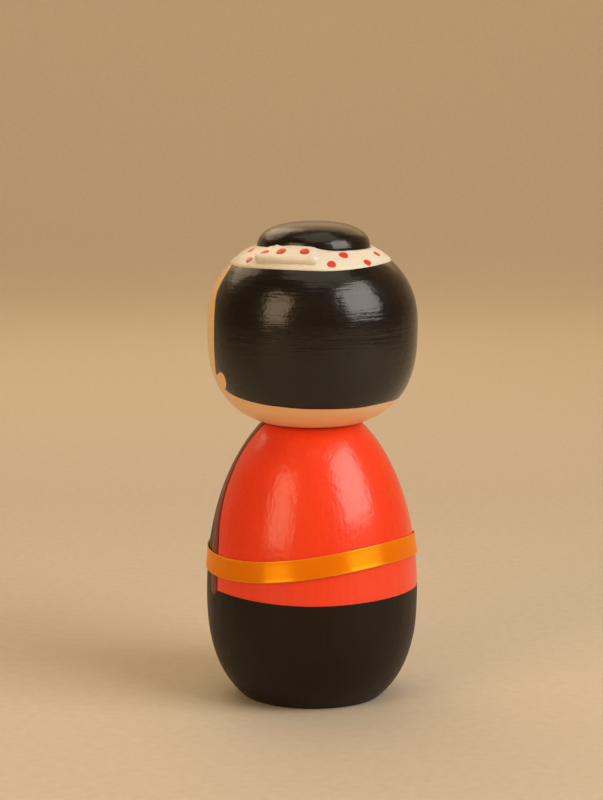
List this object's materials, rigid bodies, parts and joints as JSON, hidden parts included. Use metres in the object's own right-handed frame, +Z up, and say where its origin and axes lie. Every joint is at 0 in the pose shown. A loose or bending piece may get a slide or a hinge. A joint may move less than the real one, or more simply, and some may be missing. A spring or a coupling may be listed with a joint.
{
  "type": "kokeshi doll",
  "caption": "Turned wooden doll with an egg-shaped body, a round head that turns on a neck dowel, a flat hair bun, a modelled headband and a tied ribbon belt; stands on its flat base.",
  "frame": {"origin": "centre of the flat base of the torso, on the axis that the doll was turned about", "axes": "+Z up along the turning axis through the neck dowel; the doll's face and bow look along -Y; the doll's left hand side is +X"},
  "size_m": [0.0655, 0.068, 0.1446],
  "materials": {
    "red_paint": "turned wood under brushed red acrylic paint with a satin varnish",
    "skin_paint": "turned wood under warm cream acrylic paint with a satin varnish",
    "black_paint": "turned wood under brushed black acrylic paint with a gloss varnish",
    "bare_wood": "unpainted sanded dowel",
    "white_clay": "hand-modelled clay painted ivory white with red dots",
    "orange_satin": "woven polyester satin ribbon"
  },
  "bodies": {
    "torso": {"torso": "red_paint", "neck_dowel": "bare_wood", "obi_ribbon": "orange_satin", "bow_knot": "orange_satin", "bow_loop_left": "orange_satin", "bow_loop_right": "orange_satin", "bow_tail_left": "orange_satin", "bow_tail_right": "orange_satin"},
    "head": {"head": "skin_paint", "hair_bun": "black_paint", "bun_peg": "bare_wood", "headband": "white_clay", "headband_knot": "white_clay"}
  },
  "joints": [
    {"name": "head_turn", "type": "hinge", "parent": "torso", "child": "head", "pos_m": [0, 0, 0.0838], "axis": [0, 0, 1], "continuous": true}
  ]
}
